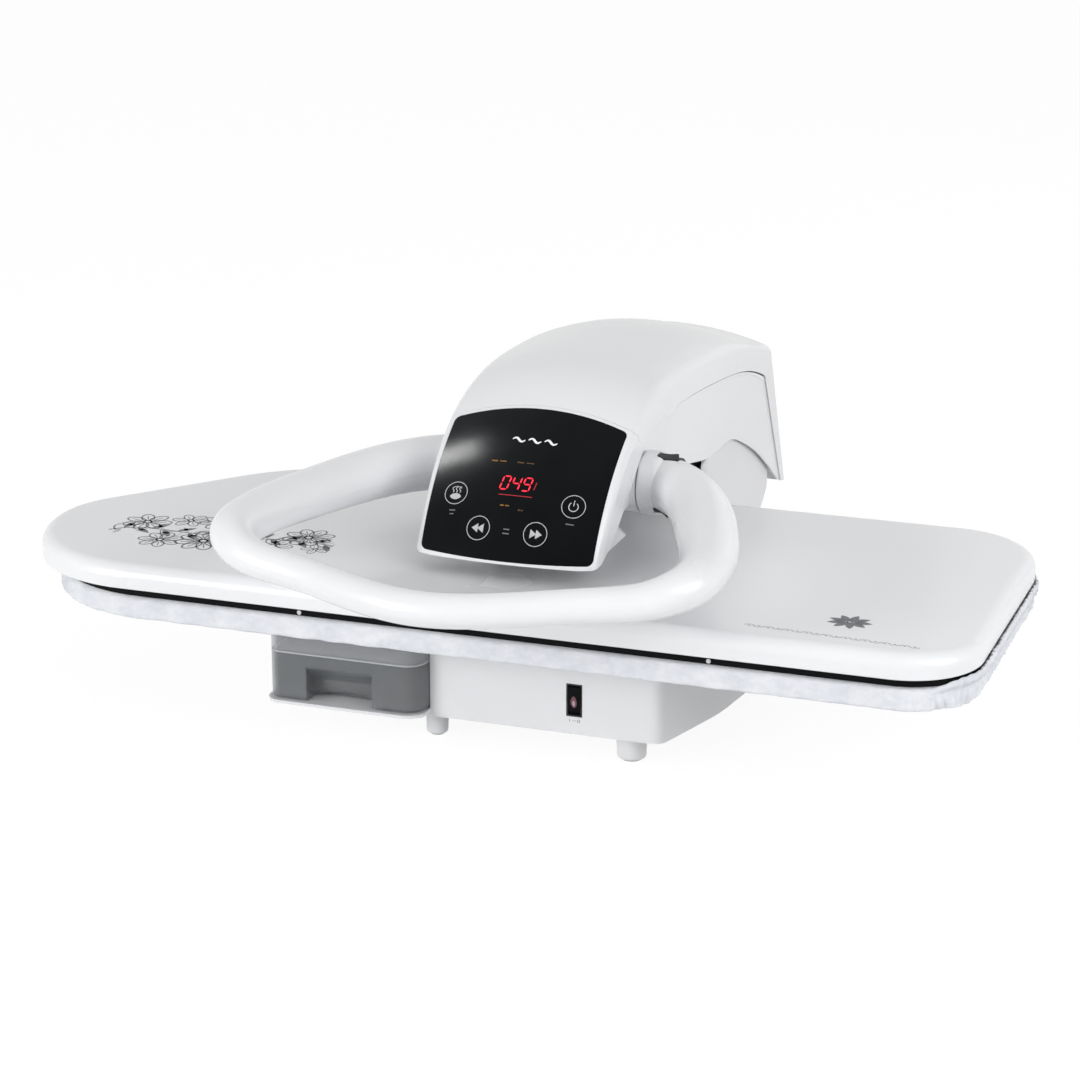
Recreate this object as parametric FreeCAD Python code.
import FreeCAD, Part
import math
import os

from FreeCAD import Vector

# Steam ironing press. Millimetres, +Z up, the user stands on the -Y side.
# The sizes below are counted from the middle of the heated plate and from the ground;
# place() moves every piece so that the origin is the middle of the footprint.

# Heated plate: one blunt end on the right, one tapered nose on the left
plate_length = 960.0
plate_depth = 393.0
plate_front_right_radius = 71.0
plate_back_right_radius = 89.0
plate_front_left_radius = 138.0
plate_taper_angle = 51.2
plate_taper_start = 176.3
plate_taper_radius = 204.0

# Heights of the stack, from the ground up
foot_height = 28.0
foot_pad_height = 1.5
base_height = 84.0
mount_height = 8.0
tray_rim_height = 11.0
board_height = 20.7
board_nose_inset = 17.0
plate_nose_inset = 18.0
trim_inset = 3.2
platen_inset = 7.5
rest_gap = 0.3
trim_height = 6.7
cover_height = 24.0

# Walls, sheets and clearances
moulded_wall = 3.0
clear_wall = 2.6
sheet = 2.0
frame_sheet = 4.0
fabric = 3.0
seat_gap = 0.3
slide_gap = 0.6
panel_gap = 1.2
running_clearance = 0.05
press_clearance = 0.02

# Base housing
base_front = -122.0
base_back = 385.0
base_left = -218.0
base_right = 178.0
base_flare = 46.0
base_flare_depth = 110.0
base_corner = 14.0
base_hip = 120.0

base_low = foot_height
base_top = base_low + base_height

# Arm: a curved beam from the hinge at the back to the control head
arm_centre = 22.0
head_half_width = 92.0
rear_half_width = 108.0
arm_edge_radius = 13.0
arm_crown = 17.0
arm_rear_crown = 23.0
head_crown = 7.0
head_low = Vector(0, -120, base_top + 78)
arm_rear_low = Vector(0, 490, base_top - 2)
arm_rear_top = Vector(0, 420, base_top + 167)
arm_under = base_top + 114.0
skirt_height = 30.0
rear_band = 27.0
panel_sink = 7.0
seam_corner = 4.0

# Main hinge at the back
hinge_y = 400.0
hinge_z = base_top + 38.0
bulb_radius = 59.0
tower_half_width = 95.5
tower_front = 222.0
tower_top = base_top + 102.0
tower_flare = 4.5
tower_slot = 90.0
frame_half_gap = 30.0
bush_radius = 12.0
hinge_shaft_radius = 9.0
hinge_eye_radius = 24.0
spring_radius = 14.0
spring_wire = 2.1
spring_turns = 3

# Control lens
lens_middle = Vector(0, -64.5, base_top + 132.5)
lens_length = 143.0
lens_half_width = 87.0
lens_foot_half_width = 85.5
lens_thickness = 3.0
lens_profile_radius = 238.0
lens_top_bulge = 14.0
lens_foot_bulge = 7.0
lens_corner = 7.0
bezel_depth = 16.0
bezel_ledge = 3.0

# Handle: a bow that turns on two hubs at the sides of the head
handle_y = 19.0
handle_z = base_top + 128.0
knuckle_radius = 31.0
collar_radius = 26.0
handle_pin_radius = 8.0
hub_radius = 30.0
right_knuckle_length = 24.0
left_knuckle_length = 18.0
right_cup_depth = 36.0
left_cup_depth = 14.0
pin_reach = 48.0
knuckle_standoff = 1.5
knuckle_slots = ((100, 15, 36), (224, 16, 32))
slot_width = 10.0
handle_rings = 46
handle_sweep = 352.0
handle_drop = 26.0
handle_half_width = 222.5
handle_front_radius = 16.0

# Water tank
tank_width = 158.0
tank_length = 196.0
tank_front = -146.0
tank_left = -212.0
tank_lift = 8.0
tank_body_height = 48.0
tank_lid_height = 21.0
tank_corner = 20.0
grip_width = 68.0
grip_height = 35.0
grip_depth = 20.0
grip_slope = 17.0
grip_arch = 7.0
tongue_reach = 3.5
seal_height = 1.2

# Mains switch
switch_x = 92.5
switch_z = 62.0
switch_width = 19.0
switch_height = 36.0
rocker_tilt = 7.0

# Heater and its place on the plate
heater_radius = 4.0
heater_inset = 68.0

# Water line
barb_radius = 3.9
hose_radius = 6.0
hose_bore = 4.0
thin_hose_radius = 4.5
thin_hose_bore = 3.0

# Feet
foot_radius = 15.0
slim_foot_radius = 11.5
foot_screw_head = 3.2
front_foot_y = -94.0
rear_foot_y = 345.0
front_feet_x = (-57.0, 141.0)
rear_feet_x = (-52.0, 96.0)

# Derived heights and places
tray_low = base_top + mount_height
board_top = tray_low + board_height
platen_low = board_top + rest_gap
cover_low = platen_low + trim_height + rest_gap
cover_top = cover_low + cover_height
front_most = handle_y - handle_sweep - handle_front_radius
middle_y = 0.5 * (front_most + arm_rear_low.y)

os.makedirs("parts", exist_ok=True)


def place(shape):
    """Moves a piece from the plate's frame to the footprint's middle."""
    moved = shape.copy()
    moved.translate(Vector(0, -middle_y, 0))
    return moved


def save(name, *solids):
    """Writes one node; several solids are one group of like pieces."""
    moved = [place(s) for s in solids]
    shape = moved[0] if len(moved) == 1 else Part.makeCompound(moved)
    shape.exportStep("parts/%s.step" % name)
    print("%-22s %2d solids %10.0f mm3" % (name, len(shape.Solids), shape.Volume))


def box(low, high):
    """Box between two corners."""
    size = Vector(*high) - Vector(*low)
    return Part.makeBox(size.x, size.y, size.z, Vector(*low))


def rod(radius, start, end):
    """Round bar between two points."""
    start, end = Vector(*start), Vector(*end)
    return Part.makeCylinder(radius, (end - start).Length, start, end - start)


def tube(outer, inner, start, end):
    """Round tube between two points."""
    return rod(outer, start, end).cut(rod(inner, start, end))


def slab(wire, low, high):
    """Prism of a flat closed wire drawn at height zero."""
    face = Part.Face(wire)
    face.translate(Vector(0, 0, low))
    return face.extrude(Vector(0, 0, high - low))


def fuse_all(shapes):
    """One solid from pieces that share faces."""
    whole = shapes[0].multiFuse(shapes[1:]) if len(shapes) > 1 else shapes[0]
    return whole.removeSplitter()


def rounded_polygon(points, radii):
    """Closed wire through corner points, each corner an arc of its own radius."""
    count = len(points)
    edges, ends = [], []
    for i in range(count):
        before, here, after = points[i - 1], points[i], points[(i + 1) % count]
        to_before = (before - here).normalize()
        to_after = (after - here).normalize()
        half = 0.5 * to_before.getAngle(to_after)
        reach = radii[i] / math.tan(half)
        start, end = here + to_before * reach, here + to_after * reach
        middle_dir = (to_before + to_after).normalize()
        centre = here + middle_dir * (radii[i] / math.sin(half))
        ends.append((start, centre - middle_dir * radii[i], end, radii[i]))
    for i in range(count):
        start, middle, end, radius = ends[i]
        if radius > 0:
            edges.append(Part.Arc(start, middle, end).toShape())
        following = ends[(i + 1) % count][0]
        if (following - end).Length > 1e-6:
            edges.append(Part.makeLine(end, following))
    return Part.Wire(edges)


def side_profile(points, radii, x_low, x_high):
    """Prism along X of a rounded outline drawn in the YZ plane."""
    wire = rounded_polygon([Vector(x_low, y, z) for y, z in points], radii)
    return Part.Face(wire).extrude(Vector(x_high - x_low, 0, 0))


def plate_outline(inset, nose_inset=0.0):
    """Outline of the pressing plate, drawn smaller by inset all round and more at the nose."""
    half_length, half_depth = 0.5 * plate_length, 0.5 * plate_depth
    nose_end = half_length - nose_inset
    taper = plate_taper_start - nose_inset
    angle = math.radians(plate_taper_angle)
    corner_x = plate_taper_start - half_length
    reach = plate_taper_radius * math.tan(0.5 * angle)
    nose_drop = plate_depth - plate_front_left_radius
    nose_radius = nose_drop * math.cos(angle) - taper * math.sin(angle)
    nose_radius /= 1 - math.sin(angle)
    right, up = 0.0, 0.5 * math.pi
    left, down = math.pi, 1.5 * math.pi
    nose_y = plate_front_left_radius - half_depth
    arcs = [
        (half_length - plate_front_right_radius, plate_front_right_radius - half_depth,
         plate_front_right_radius, down - 2 * math.pi, right),
        (half_length - plate_back_right_radius, half_depth - plate_back_right_radius,
         plate_back_right_radius, right, up),
        (corner_x + reach, half_depth - plate_taper_radius, plate_taper_radius, up, up + angle),
        (nose_radius - nose_end, nose_y, nose_radius, up + angle, left),
        (plate_front_left_radius - nose_end, nose_y, plate_front_left_radius, left, down),
    ]
    curves = []
    for x, y, radius, start, end in arcs:
        circle = Part.Circle(Vector(x, y, 0), Vector(0, 0, 1), radius - inset)
        curves.append(Part.ArcOfCircle(circle, start, end).toShape())
    edges = []
    for i, curve in enumerate(curves):
        edges.append(curve)
        last = curve.Vertexes[-1].Point
        first = curves[(i + 1) % len(curves)].Vertexes[0].Point
        if (last - first).Length > 1e-4:
            edges.append(Part.makeLine(last, first))
    return Part.Wire(edges)


def top_edges(solid, height):
    """Edges that lie at one height."""
    return [e for e in solid.Edges
            if abs(e.BoundBox.ZMin - height) < 1e-4 and abs(e.BoundBox.ZMax - height) < 1e-4]


# Base


def base_outline(inset):
    """Plan of the base: straight front, hips that flare, narrow rounded back."""
    hip_y = base_flare_depth
    tail = tower_half_width + 9
    waist = Vector(base_right + 0.64 * base_flare, base_front + 100, 0)
    corners = [
        Vector(base_left, base_front, 0), Vector(base_right, base_front, 0), waist,
        Vector(base_right + base_flare, hip_y, 0), Vector(arm_centre + tail, base_back, 0),
        Vector(arm_centre - tail, base_back, 0), Vector(base_left - 0.4 * base_flare, hip_y, 0),
    ]
    radii = [8.0, base_corner, 260.0, base_hip, 40.0, 40.0, base_hip]
    wire = rounded_polygon(corners, radii)
    return wire.makeOffset2D(-inset) if inset else wire


def foot_places():
    """Centre and radius of each foot; the one beside the tank is slimmer."""
    front = [(front_feet_x[0], front_foot_y, slim_foot_radius), (front_feet_x[1], front_foot_y, foot_radius)]
    return front + [(x, rear_foot_y, foot_radius) for x in rear_feet_x]


def bay_box(gap):
    """Room that the water tank slides in, open to the front."""
    low = (tank_left - gap, base_front - 40, base_low + tank_lift - gap)
    high = (tank_left + tank_width + gap, tank_front + tank_length + 6, base_top - moulded_wall)
    return box(low, high)


def base_shell():
    """Housing: top and walls, open below, with the tank's mouth."""
    outer = slab(base_outline(0), base_low, base_top)
    outer = outer.makeFillet(3.0, top_edges(outer, base_top))
    inner = slab(base_outline(moulded_wall), base_low - 1, base_top - moulded_wall)
    shell = outer.cut(inner)
    bounds = bay_box(slide_gap).BoundBox
    mouth = box((bounds.XMin, base_front - 5, bay_floor_low() - seat_gap),
                (bounds.XMax, base_front + moulded_wall + 9, base_top - moulded_wall))
    shell = shell.cut(mouth)
    shell = shell.cut(switch_opening())
    shell = shell.cut(inlet_opening())
    neck = box((arm_centre - tower_slot, hinge_y - 170, base_top - 5),
               (arm_centre + tower_slot, base_back - 14, base_top + 1))
    return shell.cut(neck)


def bay_floor_low():
    """Height of the underside of the tank bay's floor."""
    return base_low + tank_lift - slide_gap - moulded_wall


def tank_bay():
    """Open box that holds the tank; its floor runs out under the tank as a thin lip."""
    bounds = bay_box(slide_gap).BoundBox
    low, high = bay_floor_low(), base_top - moulded_wall - seat_gap
    wall = moulded_wall
    back = bounds.YMax + wall
    right = box((bounds.XMax, base_front + wall + seat_gap, low), (bounds.XMax + wall, back, high))
    rear = box((bounds.XMin, bounds.YMax, low), (bounds.XMax + wall, back, high))
    floor = box((bounds.XMin, base_front - 1, low), (bounds.XMax, back, low + wall))
    lip = slab(tank_plan(-tongue_reach), low, low + wall)
    lip = lip.common(box((bounds.XMin - 8, tank_front - 20, low), (bounds.XMax, base_front, low + wall)))
    feed_x, feed_z = feed_place()
    port = rod(barb_radius + 0.1, (feed_x, bounds.YMax - 1, feed_z), (feed_x, back + 1, feed_z))
    bay = fuse_all([right, rear, floor, lip]).cut(port)
    for x, y, radius in foot_places():
        bay = bay.cut(rod(foot_screw_head + 1, (x, y, low - 1), (x, y, low + wall + 1)))
    return bay


def base_floor():
    """Floor with screw holes and vents."""
    plan = base_outline(moulded_wall + seat_gap)
    floor = slab(plan, base_low, base_low + moulded_wall)
    for x, y, radius in foot_places():
        floor = floor.cut(rod(2.2, (x, y, base_low - 1), (x, y, base_low + 5)))
    for i in range(7):
        x = 20 + 14.0 * i
        floor = floor.cut(box((x, 60, base_low - 1), (x + 6, 120, base_low + 5)))
    return floor


def feet():
    """Turned plastic feet with a rounded lower edge."""
    solids = []
    for x, y, radius in foot_places():
        foot = Part.makeCone(radius - 1, radius, base_low - foot_pad_height, Vector(x, y, foot_pad_height))
        foot = foot.makeFillet(3.0, top_edges(foot, foot_pad_height))
        solids.append(foot)
    return solids


def foot_pads():
    """Rubber discs under the feet."""
    return [rod(radius - 5, (x, y, 0), (x, y, foot_pad_height)) for x, y, radius in foot_places()]


def foot_screws():
    """Screws that hold the feet to the floor."""
    solids = []
    for x, y, radius in foot_places():
        low = base_low + moulded_wall
        head = rod(foot_screw_head, (x, y, low), (x, y, low + 3))
        shank = rod(2.0, (x, y, base_low), (x, y, low))
        solids.append(head.fuse(shank).removeSplitter())
    return solids


def switch_opening():
    """Cut for the mains switch in the front wall."""
    half_w, half_h = 0.5 * switch_width - 1.5, 0.5 * switch_height - 1.5
    return box((switch_x - half_w, base_front - 5, switch_z - half_h),
               (switch_x + half_w, base_front + 8, switch_z + half_h))


def rocker_pivot():
    """Middle of the rocker's pin."""
    return Vector(switch_x, base_front + 5.0, switch_z)


def switch_bezel():
    """Frame of the mains switch with its body behind the wall."""
    half_w, half_h = 0.5 * switch_width, 0.5 * switch_height
    flange = box((switch_x - half_w, base_front - 2, switch_z - half_h),
                 (switch_x + half_w, base_front, switch_z + half_h))
    flange = flange.makeFillet(1.2, flange.Edges[:4])
    body = box((switch_x - half_w + 1.8, base_front, switch_z - half_h + 1.8),
               (switch_x + half_w - 1.8, base_front + 24, switch_z + half_h - 1.8))
    well = box((switch_x - half_w + 3, base_front - 5, switch_z - half_h + 3),
               (switch_x + half_w - 3, base_front + 14, switch_z + half_h - 3))
    pin = rocker_pivot()
    frame = flange.fuse(body).cut(well).removeSplitter()
    hole = rod(1.5 + running_clearance, (pin.x - half_w + 1.9, pin.y, pin.z),
               (pin.x + half_w - 1.9, pin.y, pin.z))
    return frame.cut(hole)


def rocker():
    """Two-way key, bent in the middle, on its own pin; it rests pressed at the top."""
    pin = rocker_pivot()
    half_w = 0.5 * switch_width - 3 - 0.4
    half_h = 0.5 * switch_height - 3 - 0.8
    front = base_front - 1.2
    outline = [(front + 1.5, pin.z - half_h), (front - 0.8, pin.z), (front + 1.5, pin.z + half_h),
               (pin.y + 1.0, pin.z + half_h), (pin.y + 5.0, pin.z), (pin.y + 1.0, pin.z - half_h)]
    key = side_profile(outline, [0.8, 6.0, 0.8, 1.0, 4.0, 1.0], pin.x - half_w, pin.x + half_w)
    key = key.fuse(rod(1.5, (pin.x - half_w - 0.9, pin.y, pin.z), (pin.x + half_w + 0.9, pin.y, pin.z)))
    key = key.removeSplitter()
    key.rotate(pin, Vector(1, 0, 0), rocker_tilt)
    return key


def inlet_opening():
    """Cut for the mains inlet in the back wall of the base."""
    return box((arm_centre - 14, base_back - 12, base_low + 22),
               (arm_centre + 14, base_back + 2, base_low + 44))


def mains_inlet():
    """Three-pin mains inlet that a detachable lead plugs into."""
    low = base_low + 22
    flange = box((arm_centre - 24, base_back, low - 4), (arm_centre + 24, base_back + 3, low + 26))
    flange = flange.makeFillet(3.0, [e for e in flange.Edges if abs(e.BoundBox.YLength - 3) < 1e-6])
    body = box((arm_centre - 13.5, base_back - 26, low + 0.5), (arm_centre + 13.5, base_back, low + 21.5))
    well = box((arm_centre - 12, base_back - 15, low + 3), (arm_centre + 12, base_back + 4, low + 19))
    shape = flange.fuse(body).removeSplitter().cut(well)
    pins = []
    for x, z in ((-7, 8.5), (0, 13.5), (7, 8.5)):
        pins.append(box((arm_centre + x - 2, base_back - 16, low + z - 1),
                        (arm_centre + x + 2, base_back - 2, low + z + 1)))
    return fuse_all([shape] + pins)


# Pressing board


def board_outline(inset):
    """Outline of the pressing board, a little inside the plate and shorter at the nose."""
    return plate_outline(5 + inset, board_nose_inset)


def tray_mounts():
    """Rubber blocks that carry the board on the base."""
    places = [(-150, -85), (150, -85), (-150, 120), (150, 120)]
    return [rod(12, (x, y, base_top), (x, y, tray_low)) for x, y in places]


def board_tray():
    """Pressed steel pan under the board, with vent holes that let the steam out."""
    low, rim = tray_low, tray_low + tray_rim_height
    pan = slab(board_outline(9), low, rim)
    pan = pan.cut(slab(board_outline(9 + sheet), low + sheet, rim + 1))
    holes = []
    for i in range(-4, 5):
        for j in range(-1, 2):
            x, y = 92.0 * i + 20, 95.0 * j
            holes.append(rod(9, (x, y, low - 1), (x, y, low + sheet + 1)))
    return pan.cut(Part.makeCompound(holes))


def foam_pad():
    """Felt and foam that fill the tray."""
    return slab(board_outline(9 + sheet + seat_gap), tray_low + sheet + seat_gap,
                board_top - fabric - seat_gap)


def pad_cover():
    """Fabric cover: top, side and a gathered hem that turns in below the tray."""
    outer = slab(board_outline(0), tray_low - fabric, board_top)
    outer = outer.makeFillet(6.0, top_edges(outer, board_top))
    inner = slab(board_outline(fabric), tray_low - seat_gap, board_top - fabric)
    below = slab(board_outline(43), tray_low - fabric - 1, tray_low)
    return outer.cut(inner).cut(below)


# Heated plate


def platen():
    """Cast plate with stiffening ribs, a boiler seat and rows of steam holes."""
    low = platen_low
    top = low + 6
    plate = slab(plate_outline(platen_inset, plate_nose_inset), low, top)
    plate = plate.makeFillet(2.0, top_edges(plate, low))
    ribs = []
    for x in (-200, 200, 0.5 * plate_length - heater_inset - 82):
        ribs.append(box((x - 2, -112, top), (x + 2, 104, top + 8)))
    plate = fuse_all([plate] + ribs)
    holes = []
    for i in range(-6, 7):
        for j in (-1, 1):
            holes.append(rod(2.0, (60.0 * i, 62.0 * j, low - 1), (60.0 * i, 62.0 * j, top + 1)))
    return plate.cut(Part.makeCompound(holes))


def edge_trim():
    """Black heat-proof strip round the plate's edge."""
    ring = slab(plate_outline(trim_inset, plate_nose_inset), platen_low + 0.5, cover_low)
    return ring.cut(slab(plate_outline(platen_inset, plate_nose_inset), platen_low, cover_low + 1))


def trim_pins():
    """Pale heads that pin the strip, two of them in sight at the front."""
    z = platen_low + 3.6
    front = trim_inset - 0.5 * plate_depth
    places = [-156.0, 244.0]
    heads = []
    for x in places:
        heads.append(rod(2.2, (x, front - 0.9, z), (x, front, z)))
    return heads


def bracket_places():
    """Feet of the plate bracket on the platen."""
    return [(arm_centre + sx * 74, 20 + sy * 46) for sx in (-1, 1) for sy in (-1, 1)]


def cover_opening(gap):
    """Hole in the plate cover and blanket that the bracket's neck goes through."""
    half_x, half_y = 56.0 + gap, 42.0 + gap
    points = [Vector(arm_centre - half_x, 20 - half_y, 0), Vector(arm_centre + half_x, 20 - half_y, 0),
              Vector(arm_centre + half_x, 20 + half_y, 0), Vector(arm_centre - half_x, 20 + half_y, 0)]
    return rounded_polygon(points, [20.0] * 4)


def plate_cover():
    """White moulded cover over the heated plate, rounded above, with a lip that reaches the platen."""
    outer = slab(plate_outline(0), cover_low, cover_top)
    outer = outer.makeFillet(13.0, top_edges(outer, cover_top))
    outer = outer.makeFillet(1.5, top_edges(outer, cover_low))
    inner = slab(plate_outline(moulded_wall), cover_low - 1, cover_top - moulded_wall)
    inner = inner.makeFillet(10.0, top_edges(inner, cover_top - moulded_wall))
    lip = slab(plate_outline(2.0), cover_low, cover_low + 2.5)
    lip = lip.cut(slab(plate_outline(platen_inset, plate_nose_inset), cover_low - 1, cover_low + 4))
    shell = fuse_all([outer.cut(inner), lip])
    return shell.cut(slab(cover_opening(0), cover_low, cover_top + 5))


def heater_height():
    """Height of the heater's centre line."""
    return platen_low + 6 + heater_radius + 0.2


def heating_element():
    """Tubular heater that follows the plate's outline, open at its right end."""
    wire = plate_outline(heater_inset)
    wire.translate(Vector(0, 0, heater_height()))
    first = wire.OrderedEdges[0]
    start = first.valueAt(first.FirstParameter)
    ahead = first.tangentAt(first.FirstParameter)
    profile = Part.Wire(Part.makeCircle(heater_radius, start, ahead))
    ring = wire.makePipeShell([profile], True, False)
    end = 0.5 * plate_length - heater_inset
    return ring.cut(box((end - 12, -14, heater_height() - 8), (end + 12, 14, heater_height() + 8)))


def element_clips():
    """Spring steel clips that hold the heater down."""
    top = platen_low + 6
    reach = 0.5 * plate_depth - heater_inset
    clips = []
    for x in (290 - 0.5 * plate_length, -70, 130, 240):
        for y in (-reach, reach):
            outer = box((x - 5, y - 12, top), (x + 5, y + 12, top + 10.2))
            inner = box((x - 6, y - 4.6, top - 1), (x + 6, y + 4.6, top + 8.8))
            side = box((x - 6, y + 5.8, top + 1.4), (x + 6, y + 13, top + 11))
            other = box((x - 6, y - 13, top + 1.4), (x + 6, y - 5.8, top + 11))
            clips.append(outer.cut(inner).cut(side).cut(other))
    return clips


def steam_chamber():
    """Flat boiler on the platen, with a sealed lid edge and an inlet stub."""
    top = platen_low + 6
    body = box((-164, -30, top), (-80, 66, top + 11))
    body = body.makeFillet(8.0, [e for e in body.Edges if abs(e.BoundBox.ZLength - 11) < 1e-6])
    flange = box((-172, -38, top), (-72, 74, top + 3))
    x, y, z = chamber_inlet()
    stub = rod(barb_radius - 1, (-80, y, z), (x, y, z))
    bore = rod(1.5, (-86, y, z), (x + 1, y, z))
    return fuse_all([body, flange, stub]).cut(bore)


def chamber_inlet():
    """End of the boiler's inlet stub."""
    return -62.0, 38.0, platen_low + 6 + 6.0


def thermostat():
    """Round sensor clamped to the platen."""
    top = platen_low + 6
    disc = rod(10, (150, 0, top), (150, 0, top + 5))
    cap = rod(6, (150, 0, top + 5), (150, 0, top + 9))
    ear = box((134, -4, top), (166, 4, top + 1.5))
    return fuse_all([disc, cap, ear])


def thermal_fuse():
    """Cut-out in its sleeve, a small capsule on a saddle."""
    top = platen_low + 6
    capsule = rod(3, (150, 36, top + 4), (174, 36, top + 4))
    saddle = box((158, 30, top), (166, 42, top + 4))
    return fuse_all([capsule, saddle])


def insulation():
    """Glass fibre blanket between platen and cover."""
    low = platen_low + 6 + 12
    wool = slab(plate_outline(20), low, cover_top - moulded_wall - seat_gap)
    wool = wool.cut(slab(cover_opening(3), low - 1, cover_top)).cut(fuse_all(bracket_feet(1)))
    feet_room = [rod(13, (x, y, low - 1), (x, y, cover_top)) for x, y in bracket_places()]
    return wool.cut(Part.makeCompound(feet_room))


def bracket_feet(grow):
    """Round posts of the bracket and the arms that join them."""
    low = platen_low + 6
    shelf_low, shelf_high = low + 12 - grow, low + 19 + grow
    pieces = []
    for x, y in bracket_places():
        pieces.append(rod(11 + grow, (x, y, low), (x, y, shelf_high)))
        pieces.append(box((min(x, arm_centre), y - 6 - grow, shelf_low),
                          (max(x, arm_centre), y + 6 + grow, shelf_high)))
    return pieces


def plate_bracket():
    """Cast spider that hangs the plate from the arm's frame."""
    half_x, half_y = frame_half_gap - seat_gap, 30.0
    shelf = platen_low + 18
    column = box((arm_centre - half_x, 20 - half_y, shelf),
                 (arm_centre + half_x, 20 + half_y, handle_z + 22))
    column = column.makeFillet(6.0, [e for e in column.Edges if e.BoundBox.ZLength > 60])
    foot = box((arm_centre - half_x, 20 - 52, shelf), (arm_centre + half_x, 20 + 52, shelf + 7))
    spider = fuse_all(bracket_feet(0) + [foot, column])
    return spider.cut(rod(handle_pin_radius, (arm_centre - 40, handle_y, handle_z),
                          (arm_centre + 40, handle_y, handle_z)))


def bracket_screws():
    """Cap screws through the spider's feet into the platen."""
    low = platen_low + 6 + 19
    return [rod(4, (x, y, low), (x, y, low + 2)) for x, y in bracket_places()]


def neck_shroud():
    """White collar between the plate cover and the arm."""
    low, high = cover_top, arm_under - 5
    wires = []
    for gap, z in ((8, low), (0, low + 14), (-6, high)):
        wire = cover_opening(gap)
        wire.translate(Vector(0, 0, z))
        wires.append(wire)
    outer = Part.makeLoft(wires, True)
    wires = []
    for gap, z in ((8, low), (0, low + 14), (-6, high)):
        wire = cover_opening(gap - 3)
        wire.translate(Vector(0, 0, z))
        wires.append(wire)
    inner = Part.makeLoft(wires, True)
    return outer.cut(inner)


# Arm


def lens_point(along):
    """Point of the head's side profile, an arc, counted along the lens from its middle."""
    radius = lens_profile_radius
    out = math.sqrt(radius ** 2 - along ** 2) - math.sqrt(radius ** 2 - (0.5 * lens_length) ** 2)
    slope, outward = Vector(0, 1, 1).normalize(), Vector(0, -1, 1).normalize()
    return lens_middle + slope * along + outward * out


def arm_stations():
    """Shoulder point, forward tilt in degrees and crown of each cross-section, head to rear."""
    half = 0.5 * lens_length
    stations = []
    for along, crown in ((-1.3 * half, head_crown), (-half, head_crown), (0, 9.0), (half, 12.0)):
        tilt = 45 - math.degrees(math.asin(along / lens_profile_radius))
        stations.append((lens_point(along), tilt, crown, 0.7 * arm_edge_radius))
    rear_tilt = math.degrees(math.atan2(arm_rear_low.y - arm_rear_top.y, arm_rear_top.z - arm_rear_low.z))
    stations.append((Vector(0, 42, base_top + 204.5), 13.0, arm_crown - 1, 1.3 * arm_edge_radius))
    stations.append((Vector(0, 118, base_top + 210), 5.0, arm_crown + 2, 1.3 * arm_edge_radius))
    stations.append((Vector(0, 236, base_top + 202.5), 6.0, arm_rear_crown - 1, 1.1 * arm_edge_radius))
    stations.append((Vector(0, 335, base_top + 187), 14.0, arm_rear_crown, arm_edge_radius))
    stations.append((arm_rear_top, rear_tilt, arm_rear_crown, arm_edge_radius))
    return stations


def half_width(y):
    """Half width of the arm, growing evenly to the rear."""
    share = (y - head_low.y) / (arm_rear_top.y - head_low.y)
    return head_half_width + share * (rear_half_width - head_half_width)


def arm_section(station, inset, depth, sink):
    """Closed section: flat sides, soft shoulders and a crowned back."""
    top, tilt, crown, shoulder_radius = station
    angle = math.radians(tilt)
    rise = Vector(0, -math.sin(angle), math.cos(angle))
    half = half_width(top.y) - inset
    half -= sink * max(0.0, 1.0 - (top.y - head_low.y) / (arm_rear_top.y - head_low.y))
    start = top - rise * depth
    shoulder = depth - inset
    big = (half * half + crown * crown) / (2 * crown)
    centre_up = shoulder + crown - big
    small = shoulder_radius - 0.5 * inset
    small_up = centre_up + math.sqrt((big - small) ** 2 - (half - small) ** 2)

    def point(across, up):
        return start + Vector(arm_centre + across, 0, 0) + rise * up

    scale = big / (big - small)
    touch = (half - small) * scale
    touch_up = centre_up + (small_up - centre_up) * scale
    bend = 0.5 * math.atan2(small_up - centre_up, half - small)
    mid_x = half - small + small * math.cos(bend)
    mid_up = small_up + small * math.sin(bend)
    edges = [
        Part.makeLine(point(-half, 0), point(half, 0)),
        Part.makeLine(point(half, 0), point(half, small_up)),
        Part.Arc(point(half, small_up), point(mid_x, mid_up), point(touch, touch_up)).toShape(),
        Part.Arc(point(touch, touch_up), point(0, shoulder + crown), point(-touch, touch_up)).toShape(),
        Part.Arc(point(-touch, touch_up), point(-mid_x, mid_up), point(-half, small_up)).toShape(),
        Part.makeLine(point(-half, small_up), point(-half, 0)),
    ]
    return Part.Wire(edges)


def arm_form(inset, rear_inset, sink=0.0):
    """Smooth solid of the arm before its underside is cut, drawn smaller by inset.

    Its sides lie deeper by sink at the head, and by nothing at the rear.
    """
    rear_top, rear_tilt, rear_crown, rear_radius = arm_stations()[-1]
    angle = math.radians(rear_tilt)
    forward = Vector(0, -math.cos(angle), -math.sin(angle))
    stations = arm_stations()[:-1] + [
        (rear_top + forward * rear_inset, rear_tilt, rear_crown, rear_radius)]
    deep = (arm_rear_top - arm_rear_low).Length
    depths = [90.0, 100.0, 110.0, 120.0, 140.0, 150.0, 160.0, 175.0, deep]
    wires = []
    for station, depth in zip(stations, depths):
        wires.append(arm_section(station, inset, depth, sink))
    return Part.makeLoft(wires, True, False, False)


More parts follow.
